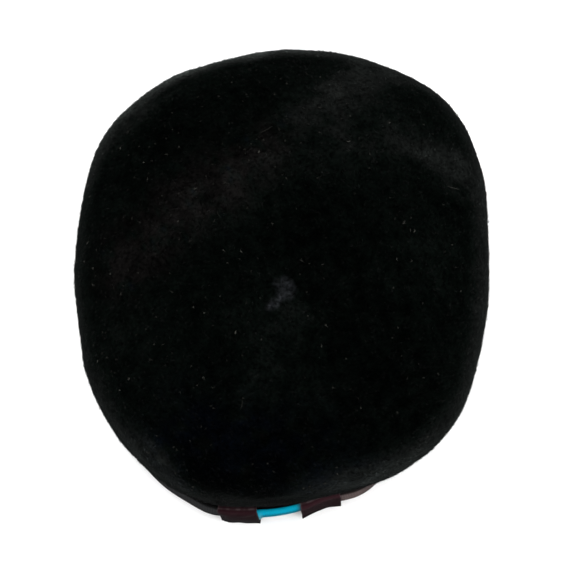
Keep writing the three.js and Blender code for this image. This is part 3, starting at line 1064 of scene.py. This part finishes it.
class HAT_OT_ribbon(bpy.types.Operator):
    """Winds the ribbed ribbon round the head wall"""

    bl_idname = "hat.ribbon"
    bl_label = "Ribbon"

    def execute(self, context):
        size, look = context.scene.hat_ribbon, context.scene.hat_look
        grid, crest = ribbon_grid(size)
        rows, columns = grid.shape[:2]
        faces = [grid_quads(rows, columns, wrap_rows=True)]
        ribbon = new_piece("ribbon", grid, faces, ribbon_material(look))
        # faded: a painted floor reflection right of the trim, and a fade at the back left
        faded = around_bells(RIBBON_SHEEN_AND_FADE, np.linspace(0, 360, columns, endpoint=False), "share")
        light = ramp((SHADED_FROM - grid[..., 2]) / SHADE_FADES) * 0.92 + 0.08
        for label, values in (("crest", crest), ("faded", ramp(faded)), ("shade", light)):
            point_values(ribbon, label, np.broadcast_to(values, (rows, columns)))
        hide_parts("ribbon_band")
        round_wall = curve_length(beside_wall(np.linspace(0, 360, 721), 1 * MM, 0.0))
        return {"FINISHED"}


# The trim

class HAT_PG_trim(bpy.types.PropertyGroup):
    loop_thick: LengthProperty(
        name="Loop thickness", description="Thickness of the loops' leather", default=0.0009
    )
    loop_back: LengthProperty(
        name="Loop depth", description="Gap between the wall and the loops' turned edges", default=0.00035
    )
    loop_low: LengthProperty(
        name="Loop lower edge", description="Height of the loops' lower edge", default=0.0006
    )
    loop_high: LengthProperty(
        name="Loop upper edge", description="Height of the loops' upper edge", default=0.0234
    )
    strip_half: LengthProperty(
        name="Strip half length", description="Half the strip's length", default=0.0135
    )
    strip_rise: LengthProperty(
        name="Strip rise", description="How far the strip's right end is higher than its middle",
        default=0.001,
    )
    strip_low: LengthProperty(
        name="Strip lower edge", description="Height of the strip's lower edge", default=0.0048
    )
    strip_high: LengthProperty(
        name="Strip upper edge", description="Height of the strip's upper edge", default=0.0208
    )


def loop_grid(table, size, puckers, creases, seed):
    """A loop's outer face. Along it the table gives where each edge is and how far it stands off. Round its
    section it is half a superellipse: forward with the cosine and up with the sine of an angle from -90 to
    90 degrees, each to a third. Shallow puckers run in from its ends, its lower edge is drawn up a little in
    the middle, and the lower corner of its far end is gathered in creases, a cosine wave slanting across."""
    share = np.linspace(0, 1, 101)[:, None]
    turned_edges, front_face = np.linspace(62, 90, 12), np.linspace(-60, 60, 49)
    angle = np.radians(np.concatenate([-turned_edges[::-1], front_face, turned_edges]))[None, :]
    forward = np.cos(angle) ** (1 / 3)
    upward = np.sign(np.sin(angle)) * np.abs(np.sin(angle)) ** (1 / 3)
    up = (1 + upward) / 2
    low_along, high_along, low_out, high_out = (open_table(values, share) * MM for values in table.values())
    along = low_along + (high_along - low_along) * up
    front = low_out + (high_out - low_out) * up
    draw = 0.2 * MM * np.sin(np.pi * share) ** 2 * (1 - up) ** 2
    middle, half = (size.loop_low + size.loop_high) / 2, (size.loop_high - size.loop_low) / 2
    z = middle + half * upward + draw
    ends = np.abs(2 * share - 1) ** 3
    pucker = puckers * MM * ends * np.cos(2 * np.pi * (2.6 * up + 0.5 * share + seed)) * forward
    flat = np.stack(np.broadcast_arrays(along, z, 0 * up), axis=-1)
    rough = waves(flat, 0.007, 20, 60 + seed) * 0.1 * MM * forward
    gathered = ramp((share - 0.72) / 0.28) * ramp((0.85 - up) / 0.5) * ramp(up / 0.2)
    crease = creases * MM * gathered * np.cos(2 * np.pi * (share * 11 + 1.1 * up)) * forward
    out = size.loop_back + (front - size.loop_back) * forward + pucker + rough + crease
    return beside_wall(trim_bearing(along), out, z), share, up, forward, gathered


def loop_marks_and_shade(share, up, forward, gathered, grey, brow_light, seed):
    """How a loop is marked, and the light painted on it: the pale edge, as thin lines along its ends and
    ragged dashes on the fold of its upper edge; the grey of its turned lower edge and of the creases; and the
    shade, a painted highlight over the upper fold and painted shade along the lowest line."""
    flat = np.stack(np.broadcast_arrays(share * 0.018, up * 0.02, 0 * up), axis=-1)
    dashes = ramp(0.25 + 1.1 * waves(flat, 0.0032, 20, 70 + seed))
    fold = ramp(1 - np.abs(forward - 0.5) / 0.17) * (up > 0.5)
    edge = ramp(1 - np.minimum(share, 1 - share) * 24) * 0.5 + fold * (0.25 + 0.75 * dashes)
    turned_up = ramp((0.5 - up) / 0.1) * grey
    hem = np.maximum(turned_up, ramp(gathered * 3) * grey * 0.8)
    # painted highlight over the upper fold, painted shade along the lowest line
    brow, lowest = ramp((up - 0.76) / 0.14), ramp((0.3 - up) / 0.1)
    shade = (1 + brow_light * brow) * (1 - 0.6 * lowest) * (1 + 0 * share)
    return ramp(edge), hem, shade


class HAT_OT_loops(bpy.types.Operator):
    """Folds the two leather loops over the ribbon"""

    bl_idname = "hat.loops"
    bl_label = "Trim loops"

    def execute(self, context):
        size, look = context.scene.hat_trim, context.scene.hat_look
        material = leather_material(look)
        for node, table, puckers, creases, grey, brow_light, seed in (
            ("trim_loop_left", LEFT_LOOP, 0.08, 0.3, 1.0, 0.9, 1),
            ("trim_loop_right", RIGHT_LOOP, 0.12, 0.1, 0.1, 1.6, 2),
        ):
            points, *places = loop_grid(table, size, puckers, creases, seed)
            rows, columns = points.shape[:2]
            faces = [grid_quads(rows, columns, wrap_columns=False)]
            loop = new_piece(node.replace("trim_", "leather_"), points, faces, material)
            for label, values in zip(("edge", "hem", "shade"), loop_marks_and_shade(*places, grey, brow_light, seed)):
                point_values(loop, label, values)
            wall = loop.modifiers.new("wall", "SOLIDIFY")
            wall.thickness = size.loop_thick
            wall.offset = -1
            soft = loop.modifiers.new("soft_edge", "BEVEL")
            soft.width = size.loop_thick * 0.3
            soft.segments = 2
            soft.limit_method = "ANGLE"
            soft.angle_limit = math.radians(50)
            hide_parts(node)
        return {"FINISHED"}


class HAT_OT_strip(bpy.types.Operator):
    """Lays the turquoise strip between the loops"""

    bl_idname = "hat.strip"
    bl_label = "Turquoise strip"

    def execute(self, context):
        size, look = context.scene.hat_trim, context.scene.hat_look
        share = np.linspace(1, -1, 81)[:, None]
        out = np.array(STRIP_SECTION["out"])[None, :] * MM
        up = np.array(STRIP_SECTION["up"])[None, :]
        along = size.strip_half * share
        z = size.strip_low + (size.strip_high - size.strip_low) * up + size.strip_rise * share
        front = out > STRIP_FRONT
        crease = 0.12 * MM * np.cos(2 * np.pi * (3.2 * up + 0.4 * share)) * share**2 * front
        flare = 1.9 * MM * ramp((-along / MM - 6.6) / 3) ** 2 * (1 - up) * front
        points = beside_wall(trim_bearing(along), out + crease + flare, z)
        rows, columns = points.shape[:2]
        ends = np.concatenate([points.reshape(-1, 3), points[:1].mean(axis=1), points[-1:].mean(axis=1)])
        strip = new_piece("strip", ends, closed_faces(rows, columns), strip_material(look))
        # the ends are paler, the left one most
        from_left = along / MM + LEFT_LOOP_EDGE + 1.5 * up
        from_right = RIGHT_LOOP_EDGE - 1.4 * up - along / MM
        left_paling = ramp((2.4 - from_left) / 1.6) * (1 - up) ** 1.5
        paling = left_paling + ramp((1.6 - from_right) / 1.6) * 0.2
        # painted shadow of the right loop over the strip's right end
        shaded_end = ramp(1 - from_right / 1.2)
        # painted shade: darker towards the long edges, as a round section lit from the front would be
        shade = np.clip(1 - ((up - 0.68) / 0.5) ** 2, 0.48, 1) * (1 - 0.4 * shaded_end)
        point_values(strip, "edge", np.concatenate([ramp(paling).ravel(), [0, 0]]))
        point_values(strip, "shade", np.concatenate([np.broadcast_to(shade, paling.shape).ravel(), [1, 1]]))
        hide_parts("turquoise_strip")
        return {"FINISHED"}


# The stage

# Each light: where it is, how wide in metres, and its power in watts
LIGHTS = {
    "key": ((-0.9, 0.7, 1.5), 1.1, 21.6),
    "fill": ((1.1, -0.9, 1.2), 1.3, 12.2),
    "low_right": ((1.2, -0.5, 0.45), 0.6, 5.4),
}
STUDIO_LIGHT = 1.49
# The camera looks at this height over the crown's middle. Its shift is a share of the view's width.
TARGET_HEIGHT = 45 * MM
SENSOR_WIDTH = 36
CAMERA_SHIFT = (0.0129, -0.0112)


class HAT_PG_stage(bpy.types.PropertyGroup):
    elevation: AngleProperty(
        name="Camera elevation", description="Angle of the view above the floor", default=math.radians(74)
    )
    lean: AngleProperty(
        name="Camera lean", description="How far the hat's back leans to the right in the view",
        default=math.radians(5),
    )
    distance: LengthProperty(
        name="Camera distance", description="From the camera to the hat's middle", default=1.3
    )
    width: LengthProperty(
        name="View width", description="Width of the view at the hat's middle", default=0.2636
    )
    floor: ColourProperty(name="Floor", description="Colour of the floor", default=(0.9, 0.9, 0.9))


class HAT_OT_stage(bpy.types.Operator):
    """Sets the pale floor, the soft studio light and the camera"""

    bl_idname = "hat.stage"
    bl_label = "Stage"

    def execute(self, context):
        scene, size = context.scene, context.scene.hat_stage
        mesh = bpy.data.meshes.new("floor")
        mesh.from_pydata([(-4, -4, 0), (4, -4, 0), (4, 4, 0), (-4, 4, 0)], [], [(0, 1, 2, 3)])
        floor = bpy.data.objects.new("floor", mesh)
        scene.collection.objects.link(floor)
        material, _, _ = new_material("pale_floor", Roughness=0.9, Base_Color=(*size.floor, 1.0))
        mesh.materials.append(material)

        scene.view_settings.view_transform = "Standard"
        scene.world = bpy.data.worlds.new("studio")
        scene.world.use_nodes = True
        background = scene.world.node_tree.nodes["Background"]
        background.inputs["Color"].default_value = (1.0, 1.0, 1.0, 1.0)
        background.inputs["Strength"].default_value = STUDIO_LIGHT
        for name, (spot, wide, power) in LIGHTS.items():
            light = bpy.data.lights.new(name, "AREA")
            light.shape = "DISK"
            light.size = wide
            light.energy = power
            lamp = bpy.data.objects.new(name, light)
            scene.collection.objects.link(lamp)
            back = unit(np.array(spot))
            right = unit(np.cross([0.0, 0.0, 1.0], back))
            lamp.matrix_world = turned(right, np.cross(back, right), back, spot)

        scene.camera = self.camera(scene, size)
        return {"FINISHED"}

    def camera(self, scene, size):
        """A camera in front of the hat and high above it, turned about its own view so that the hat leans,
        and shifted a little, so that the hat is where it should be in the picture."""
        back = np.array([0.0, -math.cos(size.elevation), math.sin(size.elevation)])
        ahead = np.array([0.0, 1.0, 0.0])
        ahead = unit(ahead - (ahead @ back) * back)
        side = np.cross(ahead, back)
        up = ahead * math.cos(size.lean) - side * math.sin(size.lean)
        right = np.cross(up, back)
        target = np.array([CROWN["x"], CROWN["y"], TARGET_HEIGHT])
        data = bpy.data.cameras.new("camera")
        data.sensor_width = SENSOR_WIDTH
        data.lens = SENSOR_WIDTH * size.distance / size.width
        data.shift_x, data.shift_y = CAMERA_SHIFT
        data.clip_end = 20
        camera = bpy.data.objects.new("camera", data)
        scene.collection.objects.link(camera)
        camera.matrix_world = turned(right, up, back, target + back * size.distance)
        return camera


def turned(right, up, back, place):
    """A placing matrix from three directions and a point."""
    matrix = Matrix.Identity(4)
    for column, vector in enumerate((right, up, back, place)):
        for row in range(3):
            matrix[row][column] = float(vector[row])
    return matrix


# In the order in which they run
OPERATORS = (
    HAT_OT_stage, HAT_OT_crown, HAT_OT_nap, HAT_OT_tufts,
    HAT_OT_lint, HAT_OT_ribbon, HAT_OT_loops, HAT_OT_strip,
)
GROUPS = {
    "hat_crown": HAT_PG_crown,
    "hat_look": HAT_PG_look,
    "hat_ribbon": HAT_PG_ribbon,
    "hat_trim": HAT_PG_trim,
    "hat_stage": HAT_PG_stage,
}


class HAT_PT_panel(bpy.types.Panel):
    """Lists the hat's pieces and their sizes"""

    bl_label = "Soft Velour Hat"
    bl_idname = "HAT_PT_panel"
    bl_space_type = "VIEW_3D"
    bl_region_type = "UI"
    bl_category = "Hat"

    def draw(self, context):
        for operator in OPERATORS:
            self.layout.operator(operator.bl_idname)
        for name, group in GROUPS.items():
            box = self.layout.box()
            for key in group.__annotations__:
                box.prop(getattr(context.scene, name), key)


def register():
    for group in GROUPS.values():
        bpy.utils.register_class(group)
    for name, group in GROUPS.items():
        setattr(bpy.types.Scene, name, PointerProperty(type=group))
    for operator in OPERATORS:
        bpy.utils.register_class(operator)
    bpy.utils.register_class(HAT_PT_panel)


def unregister():
    bpy.utils.unregister_class(HAT_PT_panel)
    for operator in reversed(OPERATORS):
        bpy.utils.unregister_class(operator)
    for name in GROUPS:
        delattr(bpy.types.Scene, name)
    for group in reversed(GROUPS.values()):
        bpy.utils.unregister_class(group)


def main():
    register()
    bpy.ops.hat.stage()
    bpy.ops.hat.crown()
    bpy.ops.hat.nap()
    bpy.ops.hat.tufts()
    bpy.ops.hat.lint()
    bpy.ops.hat.ribbon()
    bpy.ops.hat.loops()
    bpy.ops.hat.strip()


if __name__ == "__main__":
    main()
